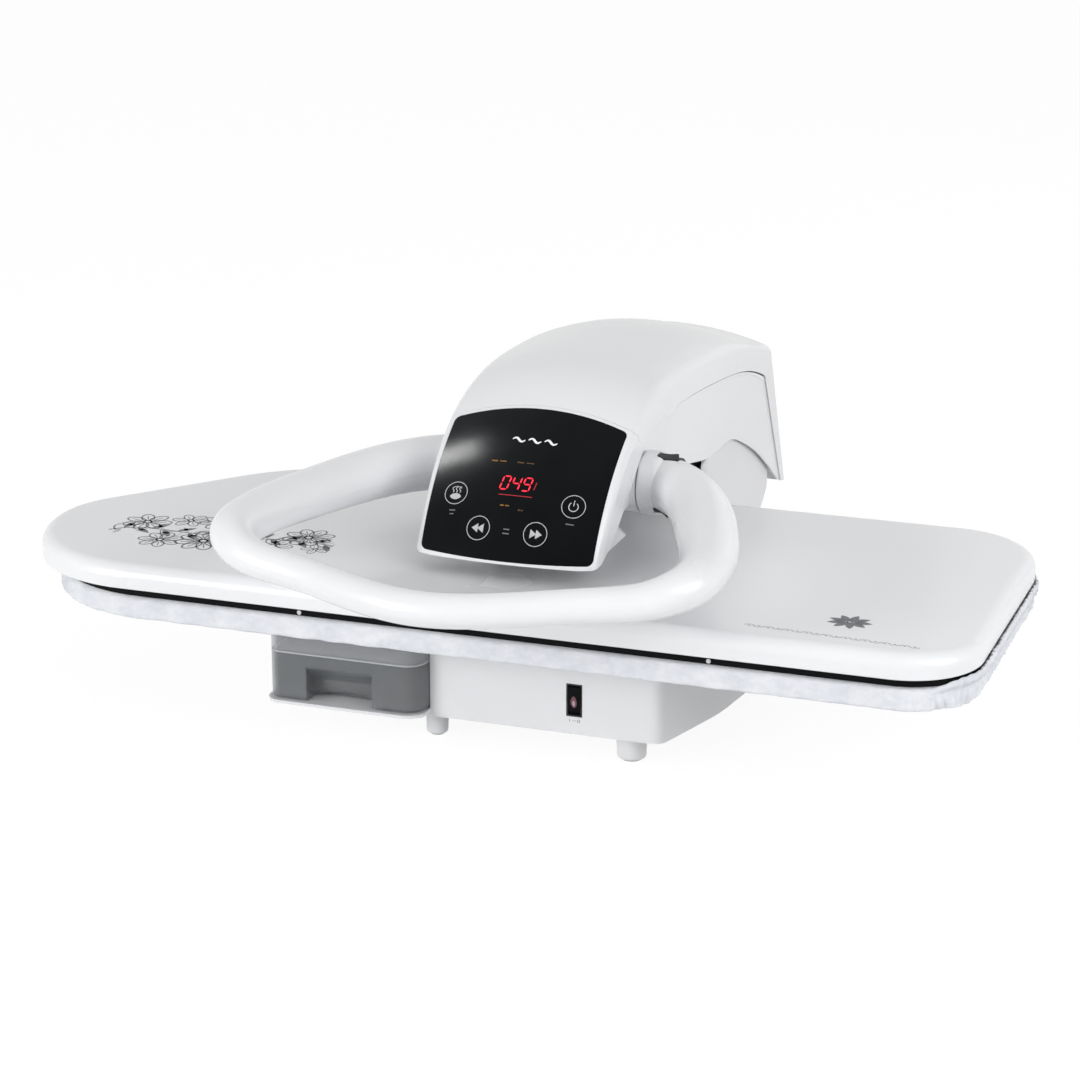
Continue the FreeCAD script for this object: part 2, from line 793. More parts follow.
def underside(rise):
    """Everything below the arm's lower edge, the edge moved up by rise.

    The edge dips ahead of the hinge tower, covers its upper corner and then follows its bulb.
    """
    drops = [(-40, 7.0), (10, 1.0), (70, 0.0), (130, 3.0), (180, 11.0), (222, 18.0), (256, 18.0),
             (288, 17.0), (340, 33.2), (389, 56.6), (423, 77.2), (449, 94.5), (470, 109.0), (500, 118.0)]
    edge = [Vector(0, y, arm_under - drop + rise) for y, drop in drops]
    curve = Part.BSplineCurve()
    curve.interpolate(edge)
    points = [edge[-1], Vector(0, 500, base_top - 72), Vector(0, -220, base_top - 72),
              Vector(0, -220, head_low.z + rise), head_low + Vector(0, 0, rise),
              Vector(0, head_low.y + 36, arm_under - 22 + rise), edge[0]]
    edges = [curve.toShape()]
    for first, second in zip(points, points[1:]):
        edges.append(Part.makeLine(first, second))
    face = Part.Face(Part.Wire(edges))
    face.translate(Vector(arm_centre - 150, 0, 0))
    return face.extrude(Vector(300, 0, 0))


def seam_region(grow):
    """Side view of the side panels: below the skirt and ahead of the rear band."""
    tops = []
    for top, tilt, crown, radius in arm_stations()[3:]:
        angle = math.radians(tilt)
        tops.append(top - Vector(0, -math.sin(angle), math.cos(angle)) * (skirt_height - grow))
    rear_rise = (arm_rear_top - arm_rear_low).normalize()
    inward = Vector(0, -rear_rise.z, rear_rise.y)
    rear_high = tops[-1] + inward * (rear_band - grow) + rear_rise * 9
    rear_low = arm_rear_low + inward * (7 - grow) - rear_rise * 40
    front_high = tops[0] + Vector(0, 6 - grow, 6)
    front_low = head_low + Vector(0, 13 - grow, -12)
    curve = Part.BSplineCurve()
    curve.interpolate([front_high] + tops[1:-1] + [rear_high])
    below_rear = rear_low + Vector(0, 0, -60)
    below_front = front_low + Vector(0, 0, -60)
    edges = [curve.toShape(), Part.makeLine(rear_high, rear_low), Part.makeLine(rear_low, below_rear),
             Part.makeLine(below_rear, below_front), Part.makeLine(below_front, front_low),
             Part.makeLine(front_low, front_high)]
    return Part.Face(Part.Wire(edges)), rear_high


def seam_prism(grow, side):
    """Seam region carried through one side of the arm, its rear corner rounded."""
    face, corner = seam_region(grow)
    face.translate(Vector(arm_centre + side * 60, 0, 0))
    prism = face.extrude(Vector(side * 70, 0, 0))
    sharp = [e for e in prism.Edges if abs(e.BoundBox.XLength - 70) < 1e-6
             and math.hypot(e.BoundBox.YMin - corner.y, e.BoundBox.ZMin - corner.z) < 0.01]
    return prism.makeFillet(seam_corner + grow, sharp)


def lens_prism(grow):
    """Barrel-shaped outline of the lens carried through the head's front."""
    slope, outward = Vector(0, 1, 1).normalize(), Vector(0, -1, 1).normalize()
    half = 0.5 * lens_length + grow
    top_half, foot_half = lens_half_width + grow, lens_foot_half_width + grow

    def point(across, along):
        return lens_middle + Vector(arm_centre + across, 0, 0) + slope * along - outward * 12

    edges = [
        Part.Arc(point(-top_half, half), point(0, half + lens_top_bulge), point(top_half, half)).toShape(),
        Part.makeLine(point(top_half, half), point(foot_half, -half)),
        Part.Arc(point(foot_half, -half), point(0, -half - lens_foot_bulge),
                 point(-foot_half, -half)).toShape(),
        Part.makeLine(point(-foot_half, -half), point(-top_half, half)),
    ]
    prism = Part.Face(Part.Wire(edges)).extrude(outward * 80)
    upright = [e for e in prism.Edges if isinstance(e.Curve, Part.Line) and abs(e.Length - 80) < 1e-6]
    return prism.makeFillet(max(1.0, lens_corner + grow), upright)


def lens_panel(form, behind):
    """Black glossy lens with the head's double curve."""
    return form.cut(behind).common(lens_prism(0))


def front_region(grow):
    """Room of the bezel: the head's whole front down to a ledge behind the lens."""
    slope, outward = Vector(0, 1, 1).normalize(), Vector(0, -1, 1).normalize()
    half = 0.5 * lens_length + 4 + grow
    across = head_half_width + 20

    def point(side, along):
        return lens_middle + Vector(arm_centre + side, 0, 0) + slope * along - outward * (bezel_depth + grow)

    bulge = lens_top_bulge * (across / lens_half_width) ** 2
    crest = half + lens_top_bulge
    edges = [
        Part.Arc(point(-across, crest - bulge), point(0, crest), point(across, crest - bulge)).toShape(),
        Part.makeLine(point(across, crest - bulge), point(across, -half - 40)),
        Part.makeLine(point(across, -half - 40), point(-across, -half - 40)),
        Part.makeLine(point(-across, -half - 40), point(-across, crest - bulge)),
    ]
    return Part.Face(Part.Wire(edges)).extrude(outward * 120)


def head_bezel(outer, ledge):
    """White frame of the head, with the ledge that the lens sits on."""
    frame = outer.cut(ledge).common(front_region(0))
    pocket = arm_form(-3, 0).cut(arm_form(lens_thickness + 0.1, 0)).common(lens_prism(seat_gap))
    return frame.cut(pocket).cut(lens_prism(-9))


def arm_top_cover(shell):
    """Crowned cover with its skirts and rear wall, cut back for the side panels and the bezel."""
    cover = shell.cut(front_region(seat_gap))
    for side in (-1, 1):
        cover = cover.cut(seam_prism(panel_gap, side))
    return cover


def arm_side_panel(side, form, sunk_form, deep_form, under):
    """Side panel sunk below the cover's skirt, with a rim in the seam and the handle's hub."""
    whole = seam_prism(0, side)
    front = front_region(seat_gap)
    rim = form.cut(deep_form).common(whole).cut(seam_prism(-moulded_wall, side))
    field = sunk_form.cut(deep_form).common(whole)
    panel = field.fuse(rim).cut(under).cut(front)
    across = arm_centre + side * 60
    hole = rod(collar_radius + seat_gap, (across, handle_y, handle_z),
               (across + side * 70, handle_y, handle_z))
    return panel.fuse(hub(side, 0)).removeSplitter().cut(hole)


def arm_bottom_cover():
    """Lower closing of the arm ahead of the hinge tower, open for the neck."""
    room = arm_form(moulded_wall + seat_gap, moulded_wall + seat_gap, panel_sink)
    tray = room.cut(underside(0)).common(underside(moulded_wall))
    tray = tray.cut(box((-200, tower_front - 6, 0), (300, 600, 400))).cut(front_region(seat_gap))
    opening = slab(cover_opening(-3), arm_under - 40, arm_under + 20)
    for side in (-1, 1):
        near = arm_centre + side * (head_half_width - panel_sink - 8)
        tray = tray.cut(rod(knuckle_radius + 3, (near, handle_y, handle_z),
                            (near + side * 40, handle_y, handle_z)))
    return tray.cut(opening)


def hub(side, grow):
    """Round hub on the side of the head, where the handle turns."""
    near = arm_centre + side * (head_half_width - panel_sink - 6 - grow)
    far = arm_centre + side * (head_half_width + knuckle_standoff - slide_gap)
    return rod(hub_radius + grow, (near, handle_y, handle_z), (far, handle_y, handle_z))


def tilted_box(across, along, out):
    """Box in the lens's own directions: sideways, up the slope and outwards."""
    base = Part.makeBox(across[1] - across[0], along[1] - along[0], out[1] - out[0],
                        Vector(across[0], along[0], out[0]))
    base.rotate(Vector(0, 0, 0), Vector(1, 0, 0), 45)
    base.translate(lens_middle + Vector(arm_centre, 0, 0))
    return base


def control_board():
    """Printed board below the lens, on four posts under the bezel's ledge, with touch pads."""
    board = tilted_box((-82, 82), (-46, 58), (-9.6, -8))
    pads = [tilted_box((x - 9, x + 9), (y - 9, y + 9), (-8, -4)) for x, y in key_places()]
    room = arm_form(lens_thickness + bezel_ledge + seat_gap, 0)
    posts = []
    for x in (-79, 79):
        for y in (-42, 54):
            posts.append(tilted_box((x - 3, x + 3), (y - 3, y + 3), (-8, 8)).common(room))
    return fuse_all([board] + pads + posts)


def key_places():
    """Centres of the four touch keys' pads, sideways and up the slope."""
    return [(-60, -17), (57, -19), (-30, -37), (27, -37)]


def display_module():
    """Three-digit display block between board and lens."""
    block = tilted_box((-19, 19), (-13, 7), (-8, 20))
    return block.common(arm_form(lens_thickness + seat_gap, 0))


def frame_outline():
    """Side view of the arm's frame plates, from the head to the hinge eye."""
    heights = [(-46, 126), (-4, 168), (70, 190), (255, 178), (365, 134), (hinge_y + 24, 56),
               (hinge_y + 14, 18), (hinge_y - 18, 24), (322, 110), (120, 136)]
    points = [(y, base_top + height) for y, height in heights]
    radii = [8, 30, 60, 90, 60, 22, 16, 16, 60, 200]
    return points, radii


def frame_pin_places():
    """Cross tubes that tie the two frame plates."""
    places = [(-22, 140), (112, 164), (240, 154), (322, 128)]
    return [(y, base_top + height) for y, height in places]


def arm_frame():
    """Two steel plates with cross tubes: the beam that carries head and heated plate."""
    points, radii = frame_outline()
    plates = []
    for side in (-1, 1):
        near = arm_centre + side * frame_half_gap
        low, high = sorted((near, near + side * frame_sheet))
        plate = side_profile(points, radii, low, high)
        plate = plate.fuse(rod(hinge_eye_radius, (low, hinge_y, hinge_z), (high, hinge_y, hinge_z)))
        plate = plate.cut(rod(bush_radius + press_clearance, (low - 1, hinge_y, hinge_z),
                              (high + 1, hinge_y, hinge_z)))
        plate = plate.cut(rod(handle_pin_radius, (low - 1, handle_y, handle_z),
                              (high + 1, handle_y, handle_z)))
        for y, height, size in ((165, 160, 13), (200, 154, 10), (290, 140, 14)):
            z = base_top + height
            plate = plate.cut(rod(size, (low - 1, y, z), (high + 1, y, z)))
        plates.append(plate.removeSplitter())
    tubes = []
    for y, z in frame_pin_places():
        left, right = arm_centre - frame_half_gap, arm_centre + frame_half_gap
        tubes.append(rod(7, (left, y, z), (right, y, z)))
    return fuse_all(plates + tubes)


def hinge_bushes():
    """Flanged bronze bushes in the eyes of the frame plates."""
    bushes = []
    for side in (-1, 1):
        near = arm_centre + side * frame_half_gap
        far = near + side * frame_sheet
        sleeve = rod(bush_radius, (near, hinge_y, hinge_z), (far, hinge_y, hinge_z))
        flange = rod(bush_radius + 4, (far, hinge_y, hinge_z), (far + side * 2, hinge_y, hinge_z))
        bore = rod(hinge_shaft_radius + running_clearance, (near - side * 9, hinge_y, hinge_z),
                   (far + side * 9, hinge_y, hinge_z))
        bushes.append(sleeve.fuse(flange).removeSplitter().cut(bore))
    return bushes


def ear_near():
    """Distance of the hinge bracket's ears from the arm's middle plane."""
    return frame_half_gap + frame_sheet + 2 + slide_gap


def hinge_bracket():
    """Folded steel bracket on the floor with an ear each side of the arm."""
    floor = base_low + moulded_wall
    points = [(290, floor), (base_back - 17, floor), (base_back - 17, base_top + 4),
              (hinge_y + 22, hinge_z - 18), (hinge_y + 22, hinge_z + 16), (hinge_y - 22, hinge_z + 20)]
    pieces = []
    for side in (-1, 1):
        near = arm_centre + side * ear_near()
        low, high = sorted((near, near + side * 5))
        ear = side_profile(points, [4, 4, 1, 14, 14, 18], low, high)
        ear = ear.cut(rod(hinge_shaft_radius, (low - 1, hinge_y, hinge_z), (high + 1, hinge_y, hinge_z)))
        pieces.append(ear)
    reach = arm_centre + ear_near() + 5
    pieces.append(box((2 * arm_centre - reach, 292, floor), (reach, base_back - 18, floor + 4)))
    rest_y, rest_z = spring_rest()
    pieces.append(rod(4, (2 * arm_centre - reach, rest_y, rest_z), (reach, rest_y, rest_z)))
    return fuse_all(pieces)


def spring_rest():
    """Bar of the bracket that the springs' legs lie on, seen from the side."""
    return hinge_y - 40, hinge_z - spring_radius - spring_wire - 4 - 0.1


def hinge_shaft():
    """Steel shaft with a groove near each end."""
    reach = ear_near() + 12
    shaft = rod(hinge_shaft_radius, (arm_centre - reach, hinge_y, hinge_z),
                (arm_centre + reach, hinge_y, hinge_z))
    for side in (-1, 1):
        at = arm_centre + side * (ear_near() + 6.2)
        ring = tube(hinge_shaft_radius + 1, hinge_shaft_radius - 1.5, (at, hinge_y, hinge_z),
                    (at + side * 1.4, hinge_y, hinge_z))
        shaft = shaft.cut(ring)
    return shaft


def shaft_clips():
    """Snap rings in the shaft's grooves."""
    clips = []
    for side in (-1, 1):
        at = arm_centre + side * (ear_near() + 6.3)
        ring = tube(hinge_shaft_radius + 4, hinge_shaft_radius - 1.4, (at, hinge_y, hinge_z),
                    (at + side * 1.2, hinge_y, hinge_z))
        mouth = box((at - 3, hinge_y - 3, hinge_z - 16), (at + 3, hinge_y + 3, hinge_z))
        clips.append(ring.cut(mouth))
    return clips


def lift_springs():
    """Two torsion springs round the shaft, their fixed legs on the bracket's bar."""
    springs = []
    pitch = 2 * spring_wire + 1.2
    for side in (-1, 1):
        helix = Part.makeHelix(pitch, spring_turns * pitch, spring_radius)
        profile = Part.Wire(Part.makeCircle(spring_wire, Vector(spring_radius, 0, 0), Vector(0, 1, 0)))
        coil = Part.Wire(helix).makePipeShell([profile], True, True)
        coil.rotate(Vector(0, 0, 0), Vector(0, 1, 0), 90)
        coil.translate(Vector(arm_centre - 0.5 * spring_turns * pitch + side * 15, hinge_y, hinge_z))
        near = arm_centre - 0.5 * spring_turns * pitch + side * 15
        low = hinge_z - spring_radius
        leg = rod(spring_wire, (near, hinge_y, low), (near, spring_rest()[0] - 6, low))
        springs.append(coil.fuse(leg).removeSplitter())
    return springs


def tower_plan(inset):
    """Plan of the hinge tower, flared like the arm that covers it."""
    front, back = tower_front + inset, hinge_y + bulb_radius + 2 - inset
    near, far = tower_half_width - inset, tower_half_width + tower_flare - inset
    corners = [Vector(arm_centre - near, front, 0), Vector(arm_centre + near, front, 0),
               Vector(arm_centre + far, back, 0), Vector(arm_centre - far, back, 0)]
    return rounded_polygon(corners, [8.0 - 0.8 * inset, 8.0 - 0.8 * inset, 14.0 - inset, 14.0 - inset])


def tower_form(inset):
    """Solid of the hinge tower: an upright front and a bulb round the hinge axis."""
    drop = 3.0 * inset if inset else 0
    points = [(tower_front + inset, base_top - drop), (tower_front + inset, tower_top - inset),
              (hinge_y, hinge_z + bulb_radius - inset), (hinge_y, base_top - drop)]
    low, high = arm_centre - 140, arm_centre + 140
    body = side_profile(points, [0.5, 20.0, 0.5, 0.5], low, high)
    bulb = rod(bulb_radius - inset, (low, hinge_y, hinge_z), (high, hinge_y, hinge_z))
    whole = body.fuse(bulb).removeSplitter()
    return whole.common(slab(tower_plan(inset), base_top - 72, base_top + 148))


def tower_cover():
    """Hinge tower shell, open at the top where the arm's frame goes in."""
    shell = tower_form(0).cut(tower_form(moulded_wall))
    shell = shell.cut(slab(base_outline(-seat_gap), base_low - 5, base_top))
    slot_half = tower_slot
    slot = box((arm_centre - slot_half, tower_front - 5, hinge_z - 4),
               (arm_centre + slot_half, hinge_y + 42, base_top + 148))
    return shell.cut(slot)


def handle_path():
    """Right half of the bow: sideways, forward and downward places, tall and wide radii."""
    half, sweep, drop = handle_half_width, handle_sweep, handle_drop
    return [
        (0.44 * half, 0.0, 0.0, 28.0, 28.0),
        (0.54 * half, 0.015 * sweep, 0.015 * drop, 27.0, 27.5),
        (0.63 * half, 0.063 * sweep, 0.025 * drop, 26.2, 28.3),
        (0.72 * half, 0.145 * sweep, 0.035 * drop, 25.3, 29.0),
        (0.80 * half, 0.25 * sweep, 0.05 * drop, 24.2, 29.4),
        (0.892 * half, 0.405 * sweep, 0.07 * drop, 22.9, 28.6),
        (0.96 * half, 0.535 * sweep, 0.09 * drop, 22.2, 26.5),
        (0.9945 * half, 0.65 * sweep, 0.14 * drop, 21.4, 24.2),
        (0.98 * half, 0.76 * sweep, 0.27 * drop, 20.2, 21.2),
        (0.865 * half, 0.825 * sweep, 0.60 * drop, 17.6, 18.0),
        (0.67 * half, 0.86 * sweep, 0.82 * drop, 16.1, 16.3),
        (0.36 * half, 0.935 * sweep, 0.96 * drop, handle_front_radius, handle_front_radius + 0.1),
        (0.0, sweep, drop, handle_front_radius, handle_front_radius + 0.1),
    ]


def ring_points(middle, outward, upward):
    """Sixteen places round an oval with the two half axes."""
    turns = [math.pi * place / 8 for place in range(16)]
    return [middle + outward * math.cos(turn) + upward * math.sin(turn) for turn in turns]


def handle_tube():
    """Bow between the knuckles, a smooth skin over ovals of changing size."""
    stations = handle_path()
    knots = [Vector(arm_centre + place[0], handle_y - place[1], handle_z - place[2]) for place in stations]
    mirrored = [Vector(2 * arm_centre - p.x, p.y, p.z) for p in knots]
    points = knots + mirrored[-2::-1]
    radii = [place[3:] for place in stations]
    curve = Part.BSplineCurve()
    curve.interpolate(points)
    marks = [0.0] + [curve.length(curve.FirstParameter, curve.parameter(p)) for p in points[1:]]
    rows = [Vector(tall, wide, mark) for (tall, wide), mark in zip(radii + radii[-2::-1], marks)]
    sizes = Part.BSplineCurve()
    sizes.interpolate(Points=rows, Parameters=marks)
    wires = []
    for step in range(handle_rings + 1):
        along = marks[-1] * step / handle_rings
        size = sizes.value(along)
        t = curve.parameterAtDistance(along, curve.FirstParameter)
        middle, ahead = curve.value(t), curve.tangent(t)[0]
        outward = ahead.cross(Vector(0, 0, 1)).normalize()
        upward = outward.cross(ahead)
        oval = Part.BSplineCurve()
        oval.interpolate(Points=ring_points(middle, outward * size.y, upward * size.x), PeriodicFlag=True)
        wires.append(Part.Wire(oval.toShape()))
    return Part.makeLoft(wires, True, False, False)


def knuckle_near(side):
    """Inner face of a knuckle, beside the head."""
    return arm_centre + side * (head_half_width + knuckle_standoff)


def handle_loop():
    """Bow handle with a hollow knuckle at each end, the right one slotted above and below."""
    loop = handle_tube()
    hollows = []
    for side, length, depth in ((-1, left_knuckle_length, left_cup_depth),
                                (1, right_knuckle_length, right_cup_depth)):
        near = knuckle_near(side)
        far = near + side * length
        axis = (handle_y, handle_z)
        knuckle = rod(knuckle_radius, (near, *axis), (far, *axis))
        rims = [e for e in knuckle.Edges if e.BoundBox.XLength < 1e-3]
        inner = [e for e in rims if abs(e.BoundBox.XMax - near) < 1e-3]
        outer = [e for e in rims if abs(e.BoundBox.XMax - far) < 1e-3]
        knuckle = knuckle.makeFillet(2.5, inner).makeFillet(0.3 * knuckle_radius, [outer[0]])
        loop = loop.fuse(knuckle)
        hollows.append(rod(collar_radius + slide_gap, (near - side * 5, *axis),
                           (near + side * depth, *axis)))
        hollows.append(rod(handle_pin_radius + running_clearance, (near, *axis),
                           (near + side * pin_reach, *axis)))
    for angle, start, end in knuckle_slots:
        slot = box((knuckle_near(1) + start, handle_y + collar_radius, handle_z - 0.5 * slot_width),
                   (knuckle_near(1) + end, handle_y + knuckle_radius + 9, handle_z + 0.5 * slot_width))
        slot.rotate(Vector(0, handle_y, handle_z), Vector(1, 0, 0), angle)
        hollows.append(slot)
    for hollow in hollows:
        loop = loop.cut(hollow)
    return loop.removeSplitter()


def handle_collars():
    """Black pivot collars on the head's sides, inside the handle's knuckles."""
    collars = []
    for side, depth in ((-1, left_cup_depth), (1, right_cup_depth)):
        near = arm_centre + side * (head_half_width - panel_sink - 7)
        far = knuckle_near(side) + side * (depth - slide_gap)
        collar = tube(collar_radius, handle_pin_radius + press_clearance, (near, handle_y, handle_z),
                      (far, handle_y, handle_z))
        collars.append(collar)
    return collars


def handle_shaft():
    """Cross shaft of the handle, through frame, bracket and both collars."""
    reach = head_half_width + knuckle_standoff + pin_reach - 1
    return rod(handle_pin_radius, (arm_centre - reach, handle_y, handle_z),
               (arm_centre + reach, handle_y, handle_z))


def tank_plan(inset):
    """Plan of the water tank, round at its front corners."""
    left, right = tank_left + inset, tank_left + tank_width - inset
    front, back = tank_front + inset, tank_front + tank_length - inset
    corners = [Vector(left, front, 0), Vector(right, front, 0), Vector(right, back, 0), Vector(left, back, 0)]
    radii = [0.6 * tank_corner - inset, tank_corner - inset, 8.0 - inset, 8.0 - inset]
    return rounded_polygon(corners, radii)


def tank_low():
    """Height of the tank's underside."""
    return base_low + tank_lift


def grip_pocket(grow):
    """Finger recess in the tank's front, open below: a sloping ceiling and an arched end."""
    middle = tank_left + 0.47 * tank_width
    low = tank_low() - 5
    high = tank_low() + grip_height + grow
    half = 0.5 * grip_width + grow
    back = tank_front + grip_depth + grow
    outline = [(tank_front - 6, low), (back, low), (back, high - grip_slope), (tank_front - 6, high + 5)]
    recess = side_profile(outline, [0.1, 0.1, 2.0, 0.1], middle - half, middle + half)
    rise = tank_low() + grip_arch + grow
    edges = [
        Part.Arc(Vector(middle - half, tank_front, tank_low()), Vector(middle, tank_front, rise),
                 Vector(middle + half, tank_front, tank_low())).toShape(),
        Part.makeLine(Vector(middle + half, tank_front, tank_low()), Vector(middle + half, tank_front, low)),
        Part.makeLine(Vector(middle + half, tank_front, low), Vector(middle - half, tank_front, low)),
        Part.makeLine(Vector(middle - half, tank_front, low), Vector(middle - half, tank_front, tank_low())),
    ]
    arch = Part.Face(Part.Wire(edges)).extrude(Vector(0, grip_depth + 6 + grow, 0))
    return recess.fuse(arch).removeSplitter()


def tank_body():
    """Clear tank with its finger recess and a feed hole at the back."""
    low = tank_low()
    high = low + tank_body_height - 0.5 * seal_height
    outer = slab(tank_plan(0), low, high)
    outer = outer.makeFillet(4.0, top_edges(outer, low))
    inner = slab(tank_plan(clear_wall), low + clear_wall, high + 1)
    pocket_wall = grip_pocket(clear_wall).common(outer)
    body = outer.cut(inner).fuse(pocket_wall).removeSplitter().cut(grip_pocket(0))
    feed_x, feed_z = feed_place()
    back = tank_front + tank_length
    return body.cut(rod(6, (feed_x, back - 8, feed_z), (feed_x, back + 2, feed_z)))


def tank_seal():
    """Soft seal between tank and lid."""
    low = tank_low() + tank_body_height - 0.5 * seal_height
    ring = slab(tank_plan(0.4), low, low + seal_height)
    return ring.cut(slab(tank_plan(clear_wall), low - 1, low + seal_height + 1))


def tank_lid():
    """Clear lid with the filling hole."""
    low = tank_low() + tank_body_height + 0.5 * seal_height
    high = tank_low() + tank_body_height + tank_lid_height
    outer = slab(tank_plan(0), low, high)
    outer = outer.makeFillet(2.5, top_edges(outer, high))
    lid = outer.cut(slab(tank_plan(clear_wall), low - 1, high - clear_wall))
    x, y = fill_place()
    return lid.cut(rod(14, (x, y, low), (x, y, high + 2)))


def fill_place():
    """Centre of the filling hole, sideways and front to back."""
    return tank_left + 0.5 * tank_width, tank_front + 62


def feed_place():
    """Centre of the tank's outlet, sideways and in height."""
    return tank_left + 0.5 * tank_width, tank_low() + 16


def fill_cap():
    """Push-in cap of the filling hole."""
    x, y = fill_place()
    high = tank_low() + tank_body_height + tank_lid_height
    plug = rod(13.6, (x, y, high - 7), (x, y, high))
    flange = rod(17, (x, y, high), (x, y, high + 1.6))
    tab = box((x - 5, y - 22, high), (x + 5, y - 14, high + 1.6))
    return fuse_all([plug, flange, tab])


def tank_valve():
    """Spring valve pressed into the tank's back wall."""
    x, z = feed_place()
    back = tank_front + tank_length
    body = tube(6, 3, (x, back - clear_wall, z), (x, back + 4, z))
    flange = tube(9, 3, (x, back, z), (x, back + 1.5, z))
    inner = tube(9, 3, (x, back - clear_wall - 5, z), (x, back - clear_wall, z))
    return fuse_all([body, flange, inner])


def tank_coupling():
    """Socket on the bay's back wall that opens the valve."""
    x, z = feed_place()
    wall = bay_box(slide_gap).BoundBox.YMax
    cup = rod(11, (x, tank_front + tank_length + 1.5 + seat_gap, z), (x, wall, z))
    cup = cup.cut(rod(6 + slide_gap, (x, tank_front, z), (x, wall - 1.5, z)))
    barb = rod(barb_radius, (x, wall, z), (x, wall + moulded_wall + 14, z))
    both = fuse_all([cup, barb])
    return both.cut(rod(2, (x, wall - 3, z), (x, wall + 30, z)))


def round_path(points, share=0.45):
    """Straight runs joined by arcs as large as the runs allow."""
    points = [Vector(*p) for p in points]
    edges = []
    last = points[0]
    for i in range(1, len(points) - 1):
        before, here, after = points[i - 1], points[i], points[i + 1]
        reach = share * min((here - before).Length, (after - here).Length)
        to_before, to_after = (before - here).normalize(), (after - here).normalize()
        start, end = here + to_before * reach, here + to_after * reach
        half = 0.5 * to_before.getAngle(to_after)
        radius = reach * math.tan(half)
        middle_dir = (to_before + to_after).normalize()
        centre = here + middle_dir * (radius / math.sin(half))
        edges.append(Part.makeLine(last, start))
        edges.append(Part.Arc(start, centre - middle_dir * radius, end).toShape())
        last = end
    edges.append(Part.makeLine(last, points[-1]))
    return Part.Wire(edges)


def hose(points, outer, inner):
    """Hose along a rounded path."""
    path = round_path(points)
    start, ahead = Vector(*points[0]), Vector(*points[1]) - Vector(*points[0])
    skin = Part.Wire(Part.makeCircle(outer, start, ahead))
    hole = Part.Wire(Part.makeCircle(inner, start, ahead))
    return path.makePipeShell([skin], True, False).cut(path.makePipeShell([hole], True, False))


def pump_place():
    """Middle of the pump's body."""
    return Vector(0, 150, base_low + moulded_wall + 30)


def water_pump():
    """Solenoid pump: coil block, steel yoke and brass nozzles."""
    c = pump_place()
    coil = box((c.x - 17, c.y - 18, c.z - 17), (c.x + 17, c.y + 18, c.z + 17))
    coil = coil.makeFillet(4.0, [e for e in coil.Edges if abs(e.BoundBox.YLength - 36) < 1e-6])
    yoke = box((c.x - 21, c.y - 12, c.z - 21), (c.x + 21, c.y + 12, c.z + 21))
    barrel = rod(10, (c.x, c.y - 34, c.z), (c.x, c.y + 34, c.z))
    nozzle = rod(barb_radius, (c.x, c.y - 48, c.z), (c.x, c.y + 48, c.z))
    return fuse_all([coil, yoke, barrel, nozzle])


def pump_mounts():
    """Rubber cradles under the pump's barrel."""
    c = pump_place()
    floor = base_low + moulded_wall
    cradles = []
    for side in (-1, 1):
        y = c.y + side * 27
        block = box((c.x - 14, y - 5, floor), (c.x + 14, y + 5, c.z + 3))
        cradles.append(block.cut(rod(10.1, (c.x, y - 9, c.z), (c.x, y + 9, c.z))))
    return cradles


def suction_hose():
    """Hose from the tank's coupling to the pump."""
    x, z = feed_place()
    c = pump_place()
    start = bay_box(slide_gap).BoundBox.YMax + moulded_wall + 2
    points = [(x, start, z), (x, start + 26, z), (x + 40, start + 36, z), (c.x - 30, c.y - 92, c.z),
              (c.x, c.y - 72, c.z), (c.x, c.y - 36, c.z)]
    return hose(points, hose_radius, hose_bore)


def swivel_x():
    """Inner face of the water swivel, just beyond the hinge shaft's left end."""
    return arm_centre - ear_near() - 12 - seat_gap


def supply_hose():
    """Hose from the pump up into the tower, to the swivel on the hinge axis."""
    c = pump_place()
    x = swivel_x() - 5
    points = [(c.x, c.y + 36, c.z), (c.x, c.y + 68, c.z), (c.x - 12, c.y + 100, c.z + 2),
              (x, c.y + 136, c.z + 12), (x, c.y + 170, c.z + 26), (x, hinge_y - 44, hinge_z - 33),
              (x, hinge_y - 12, hinge_z - 9)]
    return hose(points, hose_radius, hose_bore)


def water_swivel():
    """Turning joint on the hinge axis, where the water passes from base to arm."""
    x = swivel_x()
    body = rod(9, (x, hinge_y, hinge_z), (x - 10, hinge_y, hinge_z))
    spigot = rod(thin_hose_bore - 0.2, (x - 10, hinge_y, hinge_z), (x - 18, hinge_y, hinge_z))
    barb = rod(barb_radius, (x - 5, hinge_y - 4, hinge_z - 3), (x - 5, hinge_y - 24, hinge_z - 18))
    return fuse_all([body, spigot, barb])


def arm_hose():
    """Thin hose from the swivel along the frame and down the neck to the boiler."""
    x = swivel_x() - 10 - slide_gap
    inlet_x, inlet_y, inlet_z = chamber_inlet()
    neck_x = arm_centre - frame_half_gap - frame_sheet - thin_hose_radius - 2
    points = [(x, hinge_y, hinge_z), (x - 16, hinge_y, hinge_z), (x - 20, hinge_y - 10, hinge_z + 28),
              (x - 14, hinge_y - 34, hinge_z + 60), (x - 6, 330, base_top + 144), (x, 284, base_top + 166),
              (x, 230, base_top + 178), (x, 170, base_top + 182), (x, 112, base_top + 178),
              (x + 8, 66, base_top + 164), (neck_x, 42, base_top + 140), (neck_x, 36, base_top + 108),
              (neck_x, 36, base_top + 78), (neck_x - 1, 36, base_top + 56), (neck_x - 9, 37, inlet_z + 2),
              (neck_x - 26, inlet_y, inlet_z), (inlet_x - 9, inlet_y, inlet_z)]
    return hose(points, thin_hose_radius, thin_hose_bore)


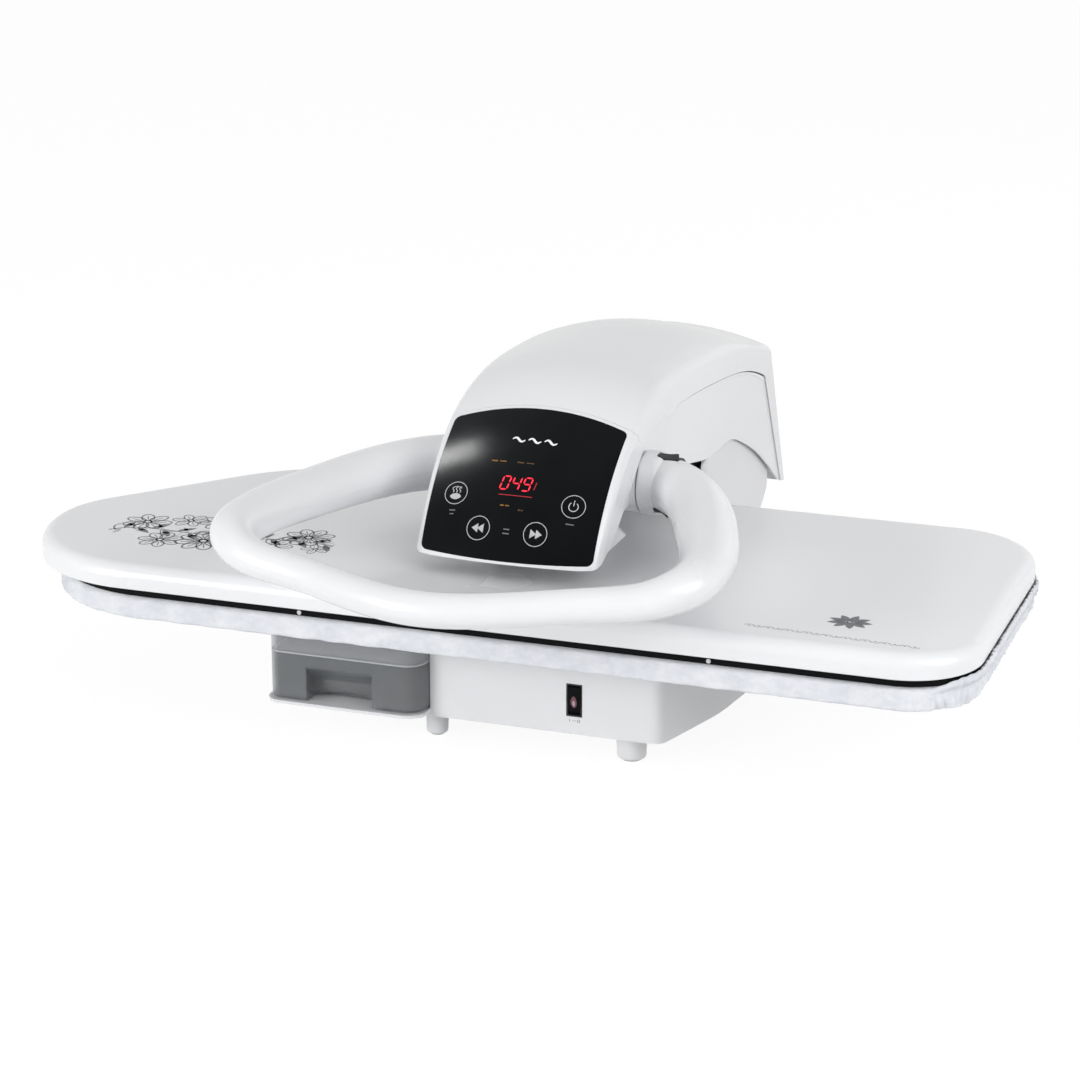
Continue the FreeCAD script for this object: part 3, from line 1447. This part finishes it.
def power_board():
    """Printed board of the base with its stand-offs."""
    floor = base_low + moulded_wall
    board = box((62, -70, floor + 12), (162, 10, floor + 13.6))
    posts = [rod(4, (x, y, floor), (x, y, floor + 12)) for x in (68, 156) for y in (-64, 4)]
    return fuse_all([board] + posts)


def board_parts():
    """Relays and a finned heat sink on the base's board."""
    top = base_low + moulded_wall + 13.6
    parts = [box((70 + 26 * i, -58, top), (90 + 26 * i, -30, top + 16)) for i in range(2)]
    sink = [box((126, -58, top), (150, -2, top + 3))]
    for i in range(5):
        sink.append(box((126 + 5.2 * i, -58, top + 3), (127.6 + 5.2 * i, -2, top + 22)))
    parts.append(fuse_all(sink))
    parts.append(rod(9, (80, -8, top), (80, -8, top + 26)))
    return parts


def build_all():
    """Writes every node."""
    save("base_shell", base_shell())
    save("tank_bay", tank_bay())
    save("base_floor", base_floor())
    save("feet", *feet())
    save("foot_pads", *foot_pads())
    save("foot_screws", *foot_screws())
    save("switch_bezel", switch_bezel())
    save("rocker", rocker())
    save("mains_inlet", mains_inlet())
    save("tray_mounts", *tray_mounts())
    save("board_tray", board_tray())
    save("foam_pad", foam_pad())
    save("pad_cover", pad_cover())
    save("hinge_bracket", hinge_bracket())
    save("hinge_shaft", hinge_shaft())
    save("shaft_clips", *shaft_clips())
    save("lift_springs", *lift_springs())
    save("tower_cover", tower_cover())
    save("tank_coupling", tank_coupling())
    save("water_pump", water_pump())
    save("pump_mounts", *pump_mounts())
    save("suction_hose", suction_hose())
    save("supply_hose", supply_hose())
    save("water_swivel", water_swivel())
    save("power_board", power_board())
    save("board_parts", *board_parts())

    save("platen", platen())
    save("edge_trim", edge_trim())
    save("trim_pins", *trim_pins())
    save("plate_cover", plate_cover())
    save("heating_element", heating_element())
    save("element_clips", *element_clips())
    save("steam_chamber", steam_chamber())
    save("thermostat", thermostat())
    save("thermal_fuse", thermal_fuse())
    save("insulation", insulation())
    save("plate_bracket", plate_bracket())
    save("bracket_screws", *bracket_screws())
    save("neck_shroud", neck_shroud())
    save("arm_frame", arm_frame())
    save("hinge_bushes", *hinge_bushes())
    under = underside(0)
    outer = arm_form(0, 0).cut(under)
    save("arm_top_cover", arm_top_cover(outer.cut(arm_form(moulded_wall, moulded_wall))))
    panel_back = panel_gap + sheet
    forms = (arm_form(panel_gap, panel_gap), arm_form(panel_gap, panel_gap, panel_sink),
             arm_form(panel_back, panel_back, panel_sink))
    save("arm_panel_right", arm_side_panel(1, *forms, under))
    save("arm_panel_left", arm_side_panel(-1, *forms, under))
    save("arm_bottom_cover", arm_bottom_cover())
    save("head_bezel", head_bezel(outer, arm_form(lens_thickness + bezel_ledge, 0)))
    save("lens_panel", lens_panel(outer, arm_form(lens_thickness, 0)))
    save("control_board", control_board())
    save("display_module", display_module())
    save("arm_hose", arm_hose())
    save("handle_collars", *handle_collars())
    save("handle_shaft", handle_shaft())
    save("handle_loop", handle_loop())

    save("tank_body", tank_body())
    save("tank_seal", tank_seal())
    save("tank_lid", tank_lid())
    save("fill_cap", fill_cap())
    save("tank_valve", tank_valve())


if __name__ == "__main__":
    build_all()
